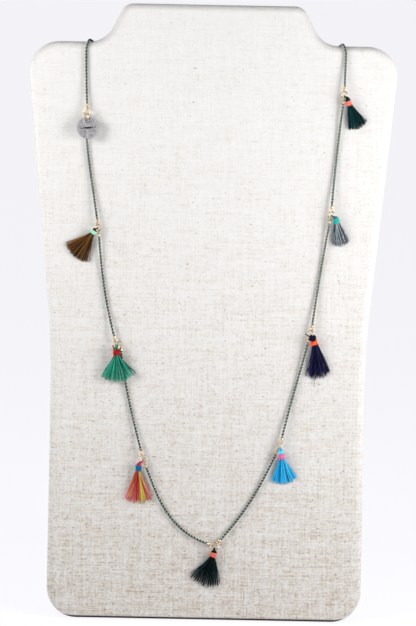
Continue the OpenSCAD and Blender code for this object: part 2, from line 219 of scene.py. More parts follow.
def to_world(points):
    p = np.asarray(points, float)
    y = p[..., 1] * SIN - p[..., 2] * COS - MIDDLE_Y
    z = p[..., 1] * COS + p[..., 2] * SIN
    return np.stack([p[..., 0], y, z], axis=-1) * MM


def unit(a):
    return a / norm(a)


def course(h):
    """The direction in the face that is h degrees from straight down, towards the right."""
    return np.array([sine(h), -cosine(h), 0.0])


def sweep(angle, x, y):
    """x turned towards y by an angle in radians."""
    return np.cos(angle) * x + np.sin(angle) * y


def bezier(a, b, c, d, count):
    t = np.linspace(0, 1, count)[:, None]
    return (1 - t) ** 3 * a + 3 * (1 - t) ** 2 * t * b + 3 * (1 - t) * t ** 2 * c + t ** 3 * d


def distances(path):
    """How far along the path each of its points lies."""
    return np.concatenate([[0], np.cumsum(norm(np.diff(path, axis=0), axis=1))])


def resample(path, count):
    """The path as count points at equal steps."""
    path = np.asarray(path, float)
    run = distances(path)
    at = np.linspace(0, run[-1], count)
    return np.stack([np.interp(at, run, path[:, k]) for k in range(3)], axis=1)


def frames(path, first=None):
    """Unit tangents of a path, and two unit sides that turn along it as little as they can."""
    tangent = np.gradient(path, axis=0)
    tangent /= norm(tangent, axis=1)[:, None]
    if first is None:
        first = np.eye(3)[np.argmin(np.abs(tangent[0]))]
    side = np.empty_like(path)
    for i, t in enumerate(tangent):
        last = first if i == 0 else side[i - 1]
        side[i] = unit(last - t * (last @ t))
    return tangent, side, np.cross(tangent, side)


# Meshes

def new_object(name, data):
    thing = bpy.data.objects.new(name, data)
    bpy.context.scene.collection.objects.link(thing)
    return thing


def spread(value, count):
    """One value, or one for each of count points, as count of them."""
    return np.broadcast_to(np.asarray(value, float), (count,) + np.shape(value)[1:])


class Shape:
    """Points, faces and their values, gathered for one mesh."""

    def __init__(self):
        self.points = []
        self.faces = []
        self.corners = []
        self.values = {}
        self.count = 0

    def add(self, points, faces, corners=None, **values):
        """corners is a list of one (u, v) for each corner of each face."""
        points = np.asarray(points, float)
        self.points.append(points)
        self.faces += [[self.count + k for k in face] for face in faces]
        self.corners += corners or [(0.0, 0.0) for face in faces for _ in face]
        for name, value in values.items():
            self.values.setdefault(name, []).append(spread(value, len(points)))
        self.count += len(points)

    def build(self, name, node_names, material):
        """The shape as a piece that rides on the body and stands for the named nodes."""
        mesh = bpy.data.meshes.new(name)
        mesh.from_pydata(to_world(np.concatenate(self.points)).tolist(), [], self.faces)
        layer = mesh.uv_layers.new(name="cloth")
        layer.data.foreach_set("uv", np.array(self.corners, np.float32).ravel())
        for key, parts in self.values.items():
            data = np.concatenate(parts).astype(np.float32)
            coloured = data.ndim == 2
            made = mesh.attributes.new(key, "FLOAT_COLOR" if coloured else "FLOAT", "POINT")
            made.data.foreach_set("color" if coloured else "value", data.ravel())
        mesh.polygons.foreach_set("use_smooth", [True] * len(mesh.polygons))
        mesh.update()
        piece = new_object(name, mesh)
        piece.data.materials.append(material)
        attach(piece, "root")
        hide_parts(*node_names)
        return piece


def tube_faces(rows, sides, ends=True):
    """Faces round rows of points, closed by two end faces or by going back to the first row."""
    count = rows * sides
    faces = [
        [i * sides + k, i * sides + (k + 1) % sides,
         ((i + 1) * sides + (k + 1) % sides) % count, ((i + 1) * sides + k) % count]
        for i in range(rows - 1 if ends else rows) for k in range(sides)
    ]
    if ends:
        faces.append(list(range(sides - 1, -1, -1)))
        faces.append(list(range(count - sides, count)))
    return faces


def add_tube(shape, path, radius, sides, first=None, **values):
    """A closed tube round a path, with one radius or one for each point."""
    path = np.asarray(path, float)
    rows = len(path)
    _, side, other = frames(path, first)
    turn = np.linspace(0, 2 * math.pi, sides, endpoint=False)[:, None]
    ring = sweep(turn, side[:, None], other[:, None])
    points = (path[:, None] + spread(radius, rows)[:, None, None] * ring).reshape(-1, 3)
    along = distances(path)
    corners = [
        uv for i in range(rows - 1) for k in range(sides)
        for uv in ((k / sides, along[i]), ((k + 1) / sides, along[i]),
                   ((k + 1) / sides, along[i + 1]), (k / sides, along[i + 1]))
    ]
    corners += [(0.0, 0.0)] * (2 * sides)
    for key, value in values.items():
        values[key] = np.repeat(spread(value, rows), sides, axis=0)
    shape.add(points, tube_faces(rows, sides), corners, **values)


def lathe(profile, sides):
    """Points and faces of a turned solid about z. The profile runs upwards as (radius, z)."""
    turn = np.linspace(0, 2 * math.pi, sides, endpoint=False)
    points = np.array([[r * math.cos(a), r * math.sin(a), z] for r, z in profile for a in turn])
    return points, tube_faces(len(profile), sides)


def ball_mesh(radius, rows, sides, slope):
    """A ball about the origin, cut flat beyond a slope in degrees."""
    stops = np.linspace(-slope, slope, rows)
    return lathe([(radius * cosine(a), radius * sine(a)) for a in stops], sides)


# Places on the necklace

def ring_middle(s):
    return np.array([s.u, SHOULDER_H - s.drop, RING_LIFT])


def ring_axes(s):
    """The ring's axis along the chain, and the one away from the middle of the necklace."""
    h = (s.grip_in + s.grip_out) / 2
    return course(h), cosine(s.tilt) * course(h - 90) + sine(s.tilt) * OUT


def ring_point(s, heading):
    """The middle of the ring's wire on a heading, and the wire's direction there."""
    along, away = ring_axes(s)
    q = course(heading)
    a = math.atan2(q @ away / cosine(s.tilt) ** 2, q @ along)
    return ring_middle(s) + RING_R * sweep(a, along, away), sweep(a, away, -along)


def grip(s, way):
    """Where the ring is held by the chain that arrives, way -1, or the one that leaves, way 1."""
    return ring_point(s, s.grip_in + 180 if way < 0 else s.grip_out)[0]


def crimp_run(s, way):
    run = -course(s.arrive) if way < 0 else course(s.leave)
    return unit(run - DIP * OUT)


def loop_middle(s, way):
    askew = s.arrive - s.grip_in if way < 0 else s.leave - s.grip_out
    wires = LOOP_WIRE / 2 + RING_WIRE / 2 + PLAY
    reach = max(0, LOOP_R - wires / cosine(askew))
    return grip(s, way) + crimp_run(s, way) * reach


def chain_end(s, way):
    return loop_middle(s, way) + crimp_run(s, way) * (BARREL_END + 2 * PLAY)


def stretch_route(s, t):
    """From one station to the next, with the middle of the curve down on the cloth."""
    a = chain_end(s, 1)
    d = chain_end(t, -1)
    reach = SLACK * norm(d - a)
    b = a + reach * crimp_run(s, 1)
    c = d + reach * crimp_run(t, -1)
    b[2] = c[2] = (8 * CHAIN_LIFT - a[2] - d[2]) / 6
    return bezier(a, b, c, d, 80)


def end_route(s, way, crossing):
    """From an end station over the shoulder at crossing and down to the middle of the back."""
    inwards = -math.copysign(1, crossing)
    shift = inwards * CROSSING_SHIFT
    over = EDGE_FRONT + CHAIN_LIFT + REST
    under = EDGE_BACK + CHAIN_LIFT + REST
    a = chain_end(s, way)
    up = np.array([crossing, SHOULDER_H - EDGE_FRONT, CHAIN_LIFT])
    rise = (up[1] - a[1]) / 3
    down = np.array([crossing + shift, SHOULDER_H - EDGE_BACK, -BOARD_T - CHAIN_LIFT])
    low = np.array([-inwards * BACK_GAP / 2, SHOULDER_H - BACK_DROP, down[2]])
    fall = norm(low - down) / 3
    first = bezier(a, a + rise * crimp_run(s, way), up - [0, rise, 0], up, 30)
    front = [[crossing + shift * k / 180, up[1] + over * sine(k), over * cosine(k) - EDGE_FRONT]
             for k in range(6, 91, 6)]
    back = [[crossing + shift * (0.75 + k / 360), down[1] + under * cosine(k),
             EDGE_BACK - BOARD_T - under * sine(k)] for k in range(0, 85, 12)]
    leave = down + fall * course(inwards * BACK_HEADING)
    last = bezier(down, leave, low - [inwards * fall, 0, 0], low, 60)
    return np.concatenate([first, front, back, last])


def hanging_point(t):
    """The middle of the ring's wire where the tassel hangs, and the wire's direction there."""
    return ring_point(next(s for s in STATIONS if s.name == t.name), t.hang)


def wide(t):
    return t.wide * BINDING_D


def tall(t):
    return t.tall * BINDING_H


def tips_lift(t):
    return REST + t.over * CHAIN_D + LOCK_D / 2


def binding_lift(t):
    return max(wide(t) / 2 + 2 * REST, tips_lift(t) + LOCK_D / 2) + LOCK_D / 3


def binding_place(t):
    """The middle of the binding, its direction down the tassel and the one across."""
    reach = RING_WIRE / 2 + t.head * HEAD_LEN + tall(t) / 2
    middle = hanging_point(t)[0] + reach * course(t.heading)
    middle[2] = binding_lift(t)
    drop = (binding_lift(t) - tips_lift(t)) / (t.long * SKIRT_LEN) / 2
    run = unit(course(t.turn) - drop * OUT)
    return middle, run, unit(np.cross(OUT, run))


# Materials

def linear(colour):
    """A colour given as 0 to 255 on screen, as linear red, green, blue and alpha."""
    return [((c / 255 + 0.055) / 1.055) ** 2.4 if c > 10 else c / 255 / 12.92 for c in colour] + [1]


# The distance between the cloth's threads, in millimetres
THREAD_ACROSS = 0.66
THREAD_UP = 0.6
# How far neighbouring threads lie apart in the noise, so that each has its own
THREAD_STEP = 3.71


class Nodes:
    """A new material or world, and short ways to add nodes to it."""

    def __init__(self, name, kind=bpy.data.materials, shader="Principled BSDF"):
        self.made = kind.new(name)
        self.made.use_nodes = True
        self.tree = self.made.node_tree
        self.shader = self.tree.nodes[shader]

    def add(self, kind, inputs=None, **settings):
        """A shader node, with its inputs by name or number."""
        node = self.tree.nodes.new("ShaderNode" + kind)
        for key, value in settings.items():
            setattr(node, key, value)
        for key, value in (inputs or {}).items():
            self.put(node.inputs[key], value)
        return node

    def put(self, socket, value):
        """value is an output to link, a number, or a colour as a tuple of 0 to 255 on screen."""
        if isinstance(value, bpy.types.NodeSocket):
            self.tree.links.new(value, socket)
        else:
            socket.default_value = linear(value) if isinstance(value, tuple) else value

    def math(self, operation, a, b=0.0, c=0.0):
        return self.add("Math", {0: a, 1: b, 2: c}, operation=operation).outputs[0]

    def scale(self, value, by, plus=0.0):
        return self.math("MULTIPLY_ADD", value, by, plus)

    def ramp(self, value, stops):
        """A colour ramp of (place, colour) stops, where a colour may be one number."""
        node = self.add("ValToRGB", {"Fac": value})
        elements = node.color_ramp.elements
        while len(elements) < len(stops):
            elements.new(0.5)
        for element, (place, colour) in zip(elements, stops):
            element.position = place
            element.color = [colour] * 3 + [1] if isinstance(colour, float) else linear(colour)
        return node.outputs["Color"]

    def mix(self, share, a, b, blend="MIX"):
        node = self.add("Mix", {0: share, 6: a, 7: b}, data_type="RGBA", blend_type=blend)
        return node.outputs[2]

    def noise(self, vector, detail, scale=1.0):
        inputs = {"Vector": vector, "Scale": scale, "Detail": detail}
        return self.add("TexNoise", inputs).outputs["Fac"]

    def parts(self, vector):
        return self.add("SeparateXYZ", {"Vector": vector}).outputs

    def cloth(self):
        """Across and up on cloth in millimetres, or round a thread as a share and along it."""
        return self.parts(self.add("UVMap", uv_map="cloth").outputs[0])[:2]

    def attribute(self, name, output="Fac"):
        return self.add("Attribute", attribute_name=name).outputs[output]

    def vector(self, x, y, z=0.0):
        return self.add("CombineXYZ", {0: x, 1: y, 2: z}).outputs[0]

    def bump(self, height, distance, strength):
        inputs = {"Height": height, "Distance": distance * MM, "Strength": strength}
        self.set(Normal=self.add("Bump", inputs).outputs[0])

    def set(self, **sockets):
        for key, value in sockets.items():
            self.put(self.shader.inputs[key.replace("_", " ")], value)
        return self.made


def linen_material(name, shade):
    """A plain weave of uneven flax threads with more brown slubs towards the foot, darkened by
    painted shade towards the foot and in the gaps of its weave, and with a painted contact shadow
    along its bottom edge.
    """
    m = Nodes(name)
    across, up = m.cloth()
    x = m.math("DIVIDE", across, THREAD_ACROSS)
    y = m.math("DIVIDE", up, THREAD_UP)
    column = m.scale(m.math("FLOOR", x), THREAD_STEP)
    row = m.scale(m.math("FLOOR", y), THREAD_STEP)
    wave_x = m.math("SINE", m.scale(x, math.pi))
    wave_y = m.math("SINE", m.scale(y, math.pi))
    share = m.scale(m.scale(wave_x, wave_y), 0.5, 0.5)
    warp = m.scale(m.math("ABSOLUTE", wave_x), share)
    weft = m.scale(m.math("ABSOLUTE", wave_y), m.math("SUBTRACT", 1.0, share))
    height = m.math("MAXIMUM", warp, weft)

    def along_weft(length, seed, detail=1.0):
        return m.noise(m.vector(m.math("DIVIDE", across, length), row, seed), detail)

    def along_warp(length, seed):
        return m.noise(m.vector(column, m.math("DIVIDE", up, length), seed), 1.0)

    def patches(wide, tall, seed):
        place = m.vector(m.math("DIVIDE", across, wide), m.math("DIVIDE", up, tall), seed)
        return m.noise(place, 2.0)

    def total(*parts):
        """The sum of noises, each about its middle and times its weight."""
        value = sum(-0.5 * weight for _, weight in parts)
        for part, weight in parts:
            value = m.scale(part, weight, value)
        return value

    slubs = total((along_weft(6.5, 0.3), 0.9), (along_warp(6.5, 2.3), 0.8))
    uneven = total((along_weft(40.0, 3.3), 0.8), (along_warp(40.0, 8.3), 0.7),
                   (along_weft(1.8, 4.3), 1.2), (along_warp(1.7, 5.3), 0.9),
                   (patches(12.0, 3.0, 6.3), 0.6))
    foot = m.math("SUBTRACT", 1.0, m.math("DIVIDE", up, BOARD_H))
    stain_and_shade = m.scale(m.math("ADD", slubs, uneven), m.scale(foot, 0.18, 0.18))
    # Painted shade: the cloth grows darker and greyer towards the foot.
    stain_and_shade = m.math("ADD", stain_and_shade, m.scale(m.scale(foot, foot), 0.18, 0.32))
    tones = [(0.0, (244, 243, 241)), (0.36, (232, 230, 227)), (0.52, (219, 212, 203)),
             (0.68, (196, 183, 166)), (0.86, (150, 129, 109)), (1.0, (104, 86, 70))]
    colour = m.ramp(stain_and_shade, [(at, [c * shade for c in tone]) for at, tone in tones])
    speck = m.scale(foot, 0.1, along_weft(1.7, 11.3, 0.0))
    colour = m.mix(m.ramp(speck, [(0.83, 0.0), (0.9, 0.55)]), colour, (124, 94, 68))
    # Painted contact shadow: a dark brown line along the foot's bottom edge, where the board meets
    # the table.
    contact_shadow = m.scale(up, -1.1, 2.9)
    colour = m.mix(m.ramp(contact_shadow, [(0.0, 0.0), (1.0, 1.0)]), colour, (52, 26, 10))
    m.bump(m.scale(slubs, 0.8, height), 0.16, 0.8)
    # Painted shade in the low places of the weave, between its threads.
    gap_shade = m.ramp(height, [(0.1, 0.3), (0.5, 0.0)])
    base = m.mix(gap_shade, colour, (178, 174, 168), "MULTIPLY")
    return m.set(Base_Color=base, Roughness=0.92, Specular_IOR_Level=0.15, Sheen_Weight=0.1)


def thread_material(name, colours=None):
    """Twisted cotton thread. Each thread has its own tone, which differs at random and carries
    painted shade where it is set darker, or its own colours where it is dyed.
    """
    m = Nodes(name)
    around, along = m.cloth()
    twist = m.scale(along, 0.55, m.scale(around, 2.0))
    ply = m.math("ABSOLUTE", m.math("SINE", m.scale(twist, math.pi)))
    fuzz = m.noise(m.vector(m.scale(around, 9.0), m.scale(along, 1.3)), 3.0)
    lit = m.math("ADD", m.attribute("tone"), m.scale(fuzz, 0.5, -0.25))
    if colours:
        colour = m.ramp(lit, list(zip((0.1, 0.5, 0.95), colours)))
    else:
        shade = m.ramp(lit, [(0.1, 0.8), (0.5, 0.0)])
        colour = m.mix(shade, m.attribute("tint", "Color"), (124, 88, 92), "MULTIPLY")
    m.bump(m.math("ADD", ply, fuzz), 0.06, 0.6)
    return m.set(Base_Color=colour, Roughness=0.75, Specular_IOR_Level=0.1)


def metal_material(name, bright, worn, roughness):
    """Metal with fine scratches and worn places where it has dulled."""
    m = Nodes(name)
    place = m.add("TexCoord").outputs["Object"]
    patch = m.noise(place, 4.0, 900.0)
    colour = m.mix(m.ramp(patch, [(0.42, 0.0), (0.72, 0.8)]), bright, worn)
    m.bump(m.noise(place, 2.0, 5200.0), 0.02, 0.5)
    rough = m.scale(patch, 0.16, roughness - 0.08)
    return m.set(Base_Color=colour, Metallic=1.0, Roughness=rough)


def coin_material():
    """Old silver: bright where it is rubbed, dark in the dents and the punched dots, and darkened
    round the hole by painted shade.
    """
    m = Nodes("silver_coin")
    place = m.add("TexCoord").outputs["Object"]
    patch = m.noise(place, 5.0, 700.0)
    stain_and_shade = m.math("ADD", m.attribute("deep"), m.scale(patch, 0.7, -0.35))
    colour = m.ramp(stain_and_shade, [(0.0, (230, 229, 231)), (0.35, (176, 174, 175)), (0.9, (34, 31, 31))])
    m.bump(m.noise(place, 3.0, 4200.0), 0.03, 0.6)
    return m.set(Base_Color=colour, Metallic=0.7, Roughness=m.scale(patch, 0.3, 0.2))


# Display board and easel leg

def corner(a, b, c, r, steps, inset):
    """The rounded corner b between a and c, of radius r and moved in by inset."""
    e = unit(b - a)
    f = unit(c - b)
    bulge = math.copysign(1, e[0] * f[1] - e[1] * f[0])
    turn = math.acos(e @ f)
    middle = b + unit(f - e) * r / math.cos(turn / 2)
    start = math.atan2(-e[0], e[1]) if bulge > 0 else math.atan2(e[0], -e[1])
    angles = [start + bulge * turn * k / steps for k in range(steps + 1)]
    return [middle + (r - bulge * inset) * np.array([math.cos(x), math.sin(x)]) for x in angles]


def outline(inset, foot):
    """The board's outline, anticlockwise from the foot's right corner, with even steps between."""
    # Each corner's place and radius, with the steps round it and on to the next one
    half = [
        (FOOT_W / 2, foot, FOOT_R, 12, 36),
        (WAIST_W / 2, WAIST_H, WAIST_R, 6, 32),
        (SHOULDER_W / 2, SHOULDER_H, SHOULDER_R, 12, 8),
        (NECK_BASE_W / 2, SHOULDER_H, HOLLOW_R, 8, 4),
        (NECK_TOP_W / 2, BOARD_H, NECK_R, 6, 24),
    ]
    mirrored = [(-x, y, r, steps, half[i - 1][4] if i else 40)
                for i, (x, y, r, steps, _) in enumerate(half)]
    every = half + mirrored[::-1]
    at = [np.array(p[:2], float) for p in every]
    arcs = [corner(a, b, c, p[2], p[3], inset)
            for a, b, c, p in zip(at[-1:] + at, at, at[1:] + at[:1], every)]
    points = []
    for arc, following, (*_, steps) in zip(arcs, arcs[1:] + arcs[:1], every):
        gap = following[0] - arc[-1]
        points += arc + [arc[-1] + gap * k / steps for k in range(1, steps)]
    return np.array(points)


def board_rings():
    """Rings of board points from the back's middle round the edge to the face's middle,
    each with its place on the cloth and whether it lies on the back."""
    rings = []
    centre = np.array([0.0, WAIST_H])
    outwards = outline(0, 0) - outline(1, 0)

    def ring(inset, z, wrap=None, share=1.0, back=False):
        flat = outline(inset, -z * SIN / COS)
        flat = centre + (flat - centre) * share
        points = np.column_stack([flat, np.full(len(flat), z)])
        cloth = flat if wrap is None else outline(EDGE_FRONT, 0) + outwards * wrap
        rings.append((points, cloth, back))

    for share in (0.02, 0.25, 0.5, 0.75, 0.95):
        ring(EDGE_BACK, -BOARD_T, share=share, back=True)
    wrapped = EDGE_FRONT * math.pi / 2 + BOARD_T - EDGE_FRONT - EDGE_BACK
    for a in (0, 22.5, 45, 67.5, 90):
        ring(EDGE_BACK * (1 - sine(a)), EDGE_BACK * (1 - cosine(a)) - BOARD_T,
             wrap=wrapped + EDGE_BACK * math.radians(90 - a))
    for k in range(1, 3):
        depth = EDGE_BACK + (BOARD_T - EDGE_FRONT - EDGE_BACK) * k / 3
        ring(0, depth - BOARD_T, wrap=wrapped - (depth - EDGE_BACK))
    for a in range(0, 91, 10):
        ring(EDGE_FRONT * (1 - cosine(a)), -EDGE_FRONT * (1 - sine(a)),
             wrap=EDGE_FRONT * math.radians(90 - a))
    for share in np.linspace(0.985, 0.02, 40):
        ring(EDGE_FRONT, 0, share=share)
    return rings


DIMPLE = 0.1
DIMPLE_RATE = 0.03


def sink(points, cloth):
    """How far the cloth lies below the board's flat face: soft dimples in the padding."""
    if points[0, 2] != 0:
        return 0
    return [DIMPLE + DIMPLE * noise.noise(Vector((*p * DIMPLE_RATE, 1.0))) for p in cloth]


def make_board(material):
    shape = Shape()
    rings = board_rings()
    sides = len(rings[0][0])
    for points, cloth, _ in rings:
        points[:, 2] -= sink(points, cloth)
    corners = []
    for (_, low, on_back), (points, high, still_on_back) in zip(rings, rings[1:]):
        if on_back and not still_on_back:
            high = points[:, :2]
        for k in range(sides):
            after = (k + 1) % sides
            corners += [low[k], low[after], high[after], high[k]]
    corners += [*rings[0][1][::-1], *rings[-1][1]]
    shape.add(np.concatenate([ring[0] for ring in rings]), tube_faces(len(rings), sides), corners)
    board = shape.build("linen_board", ["display_board"], material)


LEG_ROUNDING = 0.9


def make_leg(material):
    """The leg's own form with its edges rounded by the cloth that covers it."""
    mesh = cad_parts["easel_leg"].data.copy()
    mesh.materials.clear()
    mesh.materials.append(material)
    leg = new_object("linen_leg", mesh)
    weld = leg.modifiers.new("weld", "WELD")
    weld.merge_threshold = 0.01 * MM
    rounding = leg.modifiers.new("rounding", "BEVEL")
    rounding.width = LEG_ROUNDING * MM
    rounding.segments = 4
    rounding.angle_limit = math.radians(20)
    evaluated = leg.evaluated_get(bpy.context.evaluated_depsgraph_get())
    mesh = bpy.data.meshes.new_from_object(evaluated)
    leg.data = mesh
    leg.modifiers.clear()
    while mesh.uv_layers:
        mesh.uv_layers.remove(mesh.uv_layers[0])
    layer = mesh.uv_layers.new(name="cloth")
    for loop in mesh.loops:
        co = mesh.vertices[loop.vertex_index].co / MM
        layer.data[loop.index].uv = (co.x, co.z + 0.3 * co.y)
    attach(leg, "root")
    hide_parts("easel_leg")


# Chain

WIRE_D = 0.44
BEAD_D = 1.16
BEAD_SHIFT = 0.2
BEAD_PITCH = 1.95
WINDING_D = 0.42
WINDING_REACH = 0.46
PLIES = (-1.62, -0.54, 0.54, 1.62)
WINDING_STEPS = 14


def make_chain(name, route, gold, winding):
    """Balls on a fine wire, with four threads side by side wound round it once for each ball."""
    count = round(distances(route)[-1] / BEAD_PITCH)
    line = resample(resample(route, 4 * len(route)), count * WINDING_STEPS + 1)
    tangent, side, other = frames(line, OUT)
    metal = Shape()
    ball, ball_faces = ball_mesh(BEAD_D / 2, 8, 12, 80)
    for i in range(count):
        k = i * WINDING_STEPS + WINDING_STEPS // 2
        turned = ball @ np.array([side[k], other[k], tangent[k]])
        metal.add(line[k] - BEAD_SHIFT * other[k] + turned, ball_faces)
    add_tube(metal, line[::WINDING_STEPS // 2], WIRE_D / 2, 6, OUT)
    metal.build(name + "_balls", [name], gold)
    thread = Shape()
    turn = np.arange(len(line)) * 2 * math.pi / WINDING_STEPS
    for ply in PLIES:
        angle = (turn + ply)[:, None]
        away = sweep(angle, side, other)
        reach = WINDING_REACH + 0.03 * np.array([rng.random() for _ in line])[:, None]
        tone = 0.45 + 0.25 * np.array([rng.random() for _ in line])
        add_tube(thread, line + reach * away, WINDING_D / 2, 5, tone=tone)
    thread.build(name + "_winding", [name], winding)


def make_chains(gold, winding):
    first, last = STATIONS[0], STATIONS[-1]
    make_chain("chain_left_end", end_route(first, -1, CROSSING_LEFT), gold, winding)
    make_chain("chain_right_end", end_route(last, 1, CROSSING_RIGHT), gold, winding)
    for i, (s, t) in enumerate(zip(STATIONS, STATIONS[1:])):
        make_chain(f"chain_{i + 1}", stretch_route(s, t), gold, winding)


# Rings, crimps and coin

def ring_path(middle, x, y, radius, gap=0.0, steps=60):
    """A circle about middle in the plane of x and y, cut open by gap degrees at its end."""
    turn = np.radians(np.linspace(gap / 2, 360 - gap / 2, steps))[:, None]
    return middle + radius * sweep(turn, x, y)


def build_ring(name, node, path, axis, gold):
    shape = Shape()
    add_tube(shape, path, RING_WIRE / 2, 12, axis)
    shape.build(name, [node], gold)


# Where the jump rings are cut and how wide, in degrees round them
RING_CUT = 200
RING_GAP = 1.6
COIN_RING_GAP = 2.4


def make_ring(s, gold):
    """A jump ring, with the cut where its ends are pressed together."""
    along, away = ring_axes(s)
    cut = math.radians(RING_CUT)
    x = sweep(cut, away, along)
    y = sweep(cut, along, -away)
    path = ring_path(ring_middle(s), x, y, RING_R, RING_GAP)
    build_ring(f"jump_{s.name}", f"ring_{s.name}", path, np.cross(x, y), gold)


# The barrel's radius and height, as shares of half its width and half its length
BARREL = [(0.42, -1), (0.62, -0.9), (0.86, -0.62), (0.98, -0.25), (1, 0), (0.98, 0.25), (0.9, 0.5),
          (0.78, 0.66), (0.84, 0.74), (0.84, 0.9), (0.7, 1)]


def make_crimp(s, way, gold):
    """A wire loop on a bead-like barrel that holds the chain's last ball."""
    run = crimp_run(s, way)
    y = unit(np.cross(run, np.cross(*ring_axes(s))))
    x = np.cross(y, run)
    shape = Shape()
    loop = ring_path(loop_middle(s, way), run, x, LOOP_R, steps=33)
    add_tube(shape, loop, LOOP_WIRE / 2, 8, y)
    points, faces = lathe([(r * CRIMP_D / 2, z * CRIMP_LEN / 2) for r, z in BARREL], 20)
    middle = loop_middle(s, way) + run * (BARREL_START + CRIMP_LEN / 2)
    shape.add(middle + points @ np.array([x, y, run]), faces)
    side = "in" if way < 0 else "out"
    shape.build(f"end_cap_{s.name}_{side}", [f"crimp_{s.name}_{side}"], gold)


def make_coin_ring(gold):
    """The small ring from the first jump ring down through the coin's hole."""
    s = STATIONS[0]
    point = ring_point(s, COIN_LINK_HEADING)[0]
    top = point + (RING_WIRE + PLAY) * unit(ring_middle(s) - point)
    drop = -COIN_HOLE_DROP + (COIN_HOLE_D - RING_WIRE) / 2 - 3 * PLAY
    low = ring_middle(s) + [COIN_HOLE_SHIFT, drop, COIN_LIFT - RING_LIFT]
    y = unit(low - top)
    x = unit(np.cross(np.cross(y, OUT), y))
    radius = norm(low - top) / 2
    path = ring_path((top + low) / 2, x, y, radius, COIN_RING_GAP, steps=44)
    build_ring("coin_link", "coin_ring", path, np.cross(x, y), gold)


def coin_dents():
    """Hammered dents as (x, y, radius, depth), on two circles and strewn over the coin."""
    dents = []
    for count, share, start in ((5, 0.17, 87), (9, 0.36, 130)):
        for k in range(count):
            a = start + 360 * k / count
            at = COIN_D * share * np.array([cosine(a), sine(a)])
            if norm(at - [0, COIN_TO_HOLE]) > COIN_HOLE_D:
                dents.append((at[0], at[1], 1.3, 0.12))
    for _ in range(30):
        a = rng.uniform(0, 2 * math.pi)
        r = COIN_D / 2 * math.sqrt(rng.random())
        size, depth = rng.uniform(1.0, 1.9), rng.uniform(0.02, 0.06)
        dents.append((r * math.cos(a), r * math.sin(a), size, depth))
    return dents


# The punched dots and the rim that the punch raised round them, and the face's deepest place
DOTS = 7
DOT_DEPTH = 0.34
DOT_RIM = 0.07
DEEPEST = 0.6


def coin_dots():
    """A graduated row of punched dots across the coin, as (x, radius)."""
    pitch = COIN_D / (DOTS + 3)
    middle = (DOTS + 1) / 2
    return [((k - middle) * pitch, pitch * (0.6 - 0.3 * abs(k / middle - 1)))
            for k in range(1, DOTS + 1)]


def coin_relief(flat, dents, dots):
    """How high the coin's face is at flat points, and how dark it is there from 0 to 1."""
    low = np.zeros(len(flat))
    for x, y, r, depth in dents:
        d = np.hypot(flat[:, 0] - x, flat[:, 1] - y) / r
        low += depth * np.exp(-2.2 * d * d)
    stain_and_shade = low * 1.6
    for x, r in dots:
        d = np.hypot(flat[:, 0] - x, flat[:, 1]) / r
        low += DOT_DEPTH * np.clip(1 - d ** 4, 0, 1)
        low -= DOT_RIM * np.exp(-((d - 1.15) / 0.16) ** 2)
        stain_and_shade += np.clip(1.3 - d, 0, 1) * 1.4
    # Painted shade round the hole's edge, so that the hole reads dark.
    rim = np.hypot(flat[:, 0], flat[:, 1] - COIN_TO_HOLE) - COIN_HOLE_D / 2
    stain_and_shade += 0.9 * np.exp(-((rim / 0.35) ** 2))
    return -np.minimum(low, DEEPEST), np.clip(stain_and_shade, 0, 1)


def make_coin(silver):
    """A hand-cut disc, hammered all over, with a graduated row of punched dots."""
    turns, rows = 180, 44
    angle = np.linspace(0, 2 * math.pi, turns, endpoint=False)
    edge = COIN_D / 2 * (1 + 0.012 * np.sin(3 * angle + 0.7) + 0.008 * np.sin(5 * angle))
    edge = edge * (1 + 0.006 * np.sin(11 * angle + 1.3))
    circle = np.column_stack([np.cos(angle), np.sin(angle)])
    outer = circle * edge[:, None]
    hole = circle * COIN_HOLE_D / 2 + [0, COIN_TO_HOLE]
    dents = coin_dents()
    dots = coin_dots()
    points, deep = [], []

    def ring(share, drop, side):
        flat = hole + (outer - hole) * share
        height, stain_and_shade = coin_relief(flat, dents, dots)
        fade = min(1, 12 * share, 14 * (1 - share))
        lift = height * fade if side > 0 else 0.25 * height * fade
        z = side * (COIN_T / 2 - drop + lift)
        points.append(np.column_stack([flat[:, 0], flat[:, 1] - COIN_TO_HOLE, z]))
        deep.append(stain_and_shade if side > 0 else 0.5 * stain_and_shade)

    soft = 0.16
    shares = 0.5 - 0.5 * np.cos(np.linspace(0, math.pi, rows))
    for share in shares[1:-1]:
        ring(share, 0, 1)
    ring(0.992, 0.3 * soft, 1)
    ring(1, soft, 1)
    ring(1, soft, -1)
    ring(0.992, 0.3 * soft, -1)
    for share in shares[-2:0:-3]:
        ring(share, 0, -1)
    ring(0, soft, -1)
    ring(0, soft, 1)
    tip, roll = math.radians(-COIN_TIP), math.radians(COIN_TURN)
    turned = Matrix.Rotation(roll, 3, "Z") @ Matrix.Rotation(tip, 3, "X")
    place = ring_middle(STATIONS[0]) + [COIN_HOLE_SHIFT, -COIN_HOLE_DROP, COIN_LIFT - RING_LIFT]
    shape = Shape()
    flat = np.concatenate(points) @ np.array(turned).T
    faces = tube_faces(len(points), turns, ends=False)
    shape.add(place + flat, faces, deep=np.concatenate(deep))
    shape.build("hammered_coin", ["coin"], silver)


# Tassels

# Loose ends of the knots: their heading and length
KNOT_ENDS = {"navy": [(-118, 3.0)]}
# Threads that hang below the skirts: their place from left to right and their share of its length
LONG_THREADS = {"navy": [(0.3, 1.3)]}
HEAD_THREADS = 18
# How far inside the binding's surface the threads of the head and the skirt leave it
HEAD_INSET = 0.35
SKIRT_INSET = 0.15
# The knots: how far inside them their core lies, their thread and its turns for each millimetre
BALL_INSET = 0.3
BALL_THREAD = 0.42
BALL_TURNS = 20


